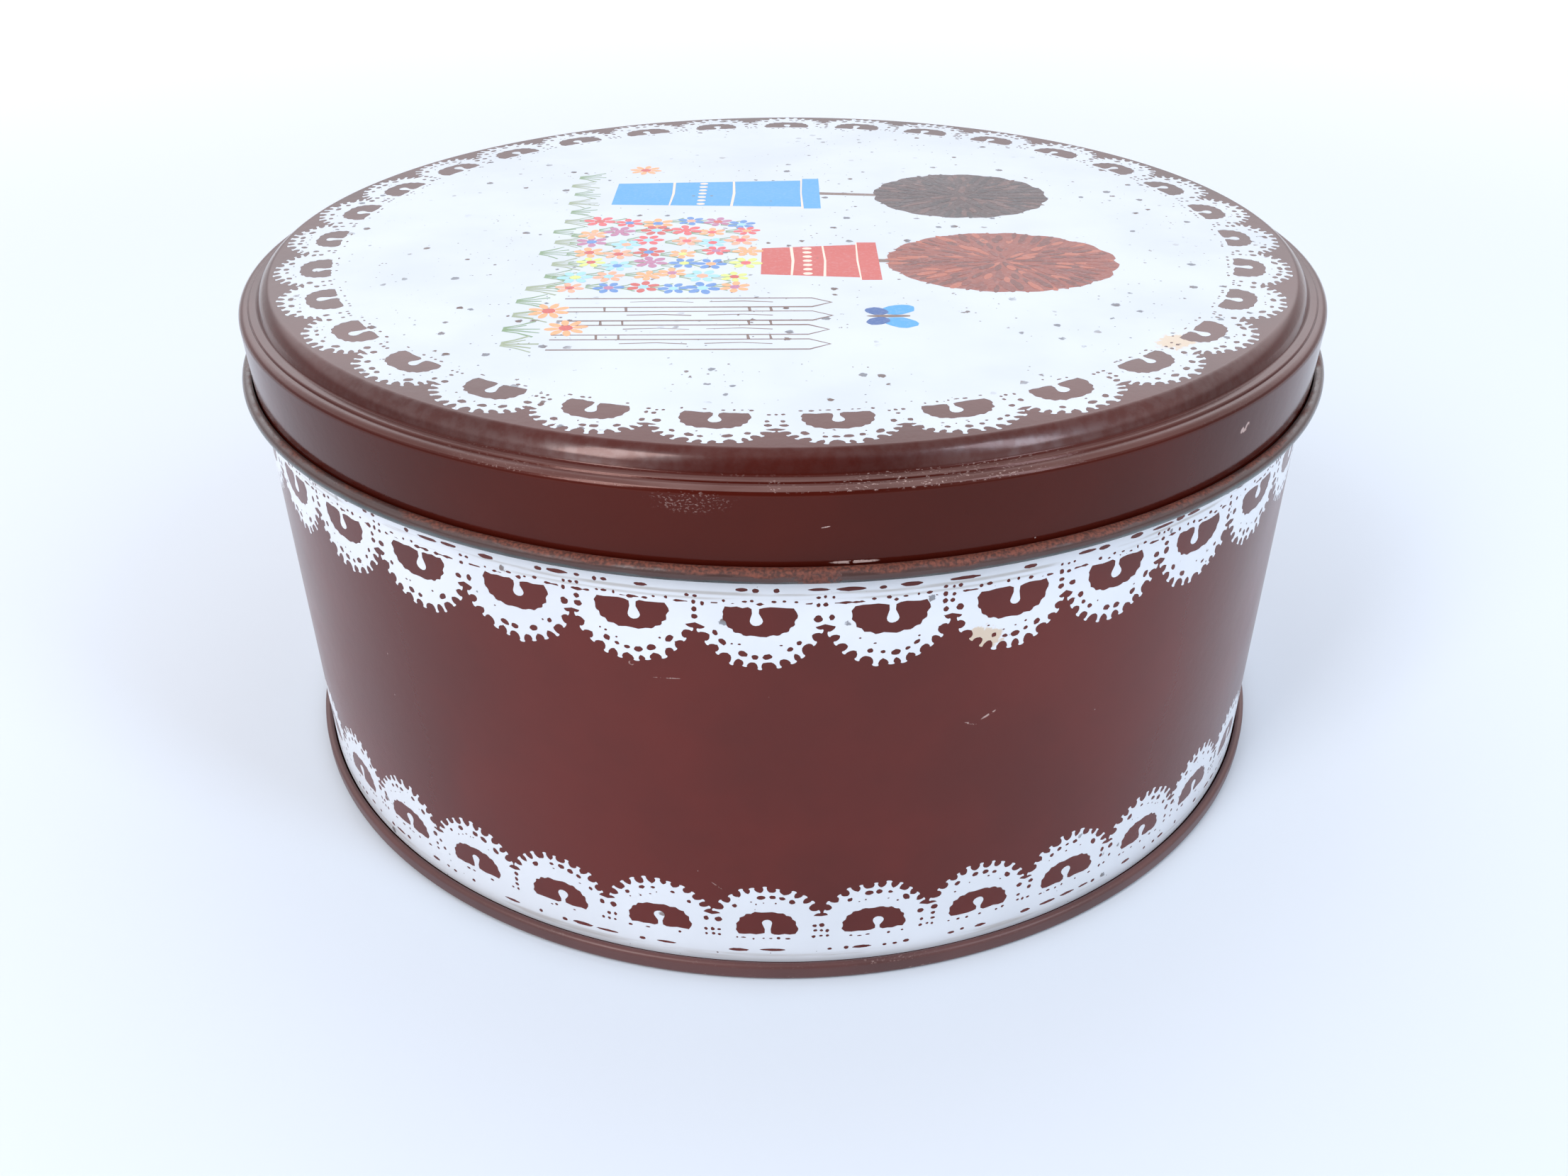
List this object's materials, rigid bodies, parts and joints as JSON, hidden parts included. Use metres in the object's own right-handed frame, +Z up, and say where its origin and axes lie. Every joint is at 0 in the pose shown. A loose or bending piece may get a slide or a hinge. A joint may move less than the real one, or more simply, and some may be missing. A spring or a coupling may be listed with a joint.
{
  "type": "cookie tin",
  "caption": "Round lacquered tinplate cookie tin with a printed lace border, a push-on drawn lid with a rolled curl, a rolled body wall and a double-seamed bottom end.",
  "frame": {"origin": "centre of the circle that the tin stands on, at the foot of the bottom seam", "axes": "+Z up along the tin's axis, the way the lid lifts; +X to the right and +Y away in the main view"},
  "size_m": [0.21, 0.21, 0.098],
  "materials": {
    "lid_lacquer": "satin gloss red-brown lacquer over tinplate, with a white printed panel and lace edge",
    "body_lacquer": "satin gloss red-brown lacquer over tinplate, with white printed lace bands",
    "end_tinplate": "red-brown lacquered seam over plain tinplate",
    "print_white": "white lithographed enamel, satin",
    "bare_tin": "bare tinplate, lightly rusted at the edges"
  },
  "bodies": {
    "tin_body": {"body_wall": "body_lacquer", "bottom_end": "end_tinplate"},
    "lid": {"lid": "lid_lacquer"}
  },
  "joints": [
    {"name": "lid_lift", "type": "slide", "parent": "tin_body", "child": "lid", "axis": [0, 0, 1], "range_m": [0, 0.12]}
  ]
}
